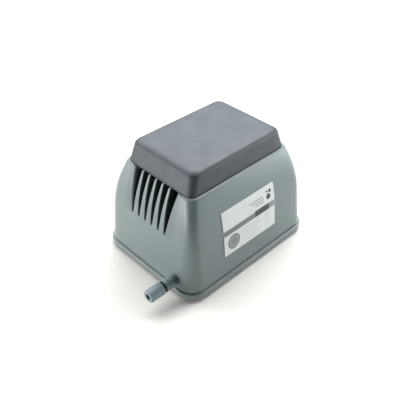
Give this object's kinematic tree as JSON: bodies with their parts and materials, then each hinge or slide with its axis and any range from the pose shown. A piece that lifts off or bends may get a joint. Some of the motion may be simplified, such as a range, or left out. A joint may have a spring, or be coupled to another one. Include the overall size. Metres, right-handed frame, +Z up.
{
  "type": "diaphragm air pump",
  "caption": "Linear diaphragm air pump with tapered moulded housing, louvred intake, lift-off filter cover, hose nozzle, rubber feet and working electromagnetic drive inside.",
  "frame": {"origin": "middle of the whole footprint, nozzle and cable gland included, on the plane under the feet", "axes": "+Z up; -X out of the air nozzle, with the louvres on that end; +X out of the cable gland; -Y out of the labelled side"},
  "size_m": [0.29, 0.187, 0.175],
  "materials": {
    "housing_plastic": "semi-gloss injection moulding, green-grey",
    "cover_plastic": "satin moulding, dark blue-grey",
    "filter_foam": "open-cell foam, dark grey",
    "label_film": "printed polyester film, silver-white",
    "nozzle_plastic": "satin moulding, blue-grey",
    "dark_plastic": "satin nylon, near black",
    "black_rubber": "matt synthetic rubber, black",
    "tank_plastic": "moulded plastic, mid grey",
    "head_plastic": "glass-filled nylon, dark grey",
    "aluminium": "die-cast and turned aluminium",
    "zinc_steel": "zinc-plated steel",
    "core_steel": "stacked silicon-steel sheets",
    "bobbin_plastic": "natural nylon, ivory",
    "copper_wire": "enamelled copper winding",
    "magnet_ferrite": "ferrite magnet, dark grey",
    "lead_insulation": "silicone sleeving, brown-red"
  },
  "bodies": {
    "housing": {"upper_housing": "housing_plastic", "base_tray": "housing_plastic", "rating_label": "label_film", "outlet_nozzle": "nozzle_plastic", "outlet_lock_ring": "dark_plastic", "cable_gland": "dark_plastic", "outlet_grommet": "black_rubber", "outlet_hose": "black_rubber", "housing_gasket": "black_rubber", "tank_gasket": "black_rubber", "rubber_foot_front_left": "black_rubber", "rubber_foot_front_right": "black_rubber", "rubber_foot_rear_left": "black_rubber", "rubber_foot_rear_right": "black_rubber", "vibration_mount_front_left": "black_rubber", "vibration_mount_front_right": "black_rubber", "vibration_mount_rear_left": "black_rubber", "vibration_mount_rear_right": "black_rubber", "diaphragm_left": "black_rubber", "head_bush_left": "black_rubber", "diaphragm_right": "black_rubber", "head_bush_right": "black_rubber", "air_tank": "tank_plastic", "tank_lid": "tank_plastic", "valve_box_left": "head_plastic", "head_cover_left": "head_plastic", "valve_box_right": "head_plastic", "head_cover_right": "head_plastic", "stator_frame": "aluminium", "clamp_ring_left": "aluminium", "clamp_ring_right": "aluminium", "housing_screw_front_left": "zinc_steel", "housing_screw_front_right": "zinc_steel", "housing_screw_rear_left": "zinc_steel", "housing_screw_rear_right": "zinc_steel", "stator_core_front": "core_steel", "stator_core_rear": "core_steel", "coil_bobbin_front": "bobbin_plastic", "coil_bobbin_rear": "bobbin_plastic", "terminal_block": "bobbin_plastic", "coil_winding_front": "copper_wire", "coil_winding_rear": "copper_wire", "coil_lead_front": "lead_insulation", "coil_lead_rear": "lead_insulation"},
    "armature": {"drive_rod": "aluminium", "magnet_left": "magnet_ferrite", "inner_plate_left": "aluminium", "outer_plate_left": "aluminium", "rod_nut_left": "zinc_steel", "magnet_right": "magnet_ferrite", "inner_plate_right": "aluminium", "outer_plate_right": "aluminium", "rod_nut_right": "zinc_steel"},
    "filter_cover": {"filter_cover": "cover_plastic"},
    "air_filter": {"air_filter": "filter_foam"},
    "inlet_flap_left": {"inlet_flap_left": "black_rubber"},
    "outlet_flap_left": {"outlet_flap_left": "black_rubber"},
    "inlet_flap_right": {"inlet_flap_right": "black_rubber"},
    "outlet_flap_right": {"outlet_flap_right": "black_rubber"}
  },
  "joints": [
    {"name": "armature_slide", "type": "slide", "parent": "housing", "child": "armature", "axis": [1, 0, 0], "range_m": [-0.003, 0.003], "stiffness_N_per_m": 4000, "deforming": ["diaphragm_left", "diaphragm_right"]},
    {"name": "cover_lift", "type": "slide", "parent": "housing", "child": "filter_cover", "axis": [0, 0, 1], "range_m": [0, 0.08]},
    {"name": "filter_lift", "type": "slide", "parent": "housing", "child": "air_filter", "axis": [0, 0, 1], "range_m": [0, 0.04]},
    {"name": "inlet_flap_left_hinge", "type": "hinge", "parent": "housing", "child": "inlet_flap_left", "pos_m": [-0.0387, 0, 0.086], "axis": [0, 1, 0], "range_deg": [0, 12], "stiffness_Nm_per_rad": 0.001},
    {"name": "outlet_flap_left_hinge", "type": "hinge", "parent": "housing", "child": "outlet_flap_left", "pos_m": [-0.0423, 0, 0.08], "axis": [0, 1, 0], "range_deg": [0, 12], "stiffness_Nm_per_rad": 0.001},
    {"name": "inlet_flap_right_hinge", "type": "hinge", "parent": "housing", "child": "inlet_flap_right", "pos_m": [0.0807, 0, 0.086], "axis": [0, -1, 0], "range_deg": [0, 12], "stiffness_Nm_per_rad": 0.001},
    {"name": "outlet_flap_right_hinge", "type": "hinge", "parent": "housing", "child": "outlet_flap_right", "pos_m": [0.0843, 0, 0.08], "axis": [0, -1, 0], "range_deg": [0, 12], "stiffness_Nm_per_rad": 0.001}
  ],
  "couplings": [
    {"joint": "filter_lift", "follows": "cover_lift", "ratio": 0.5}
  ]
}
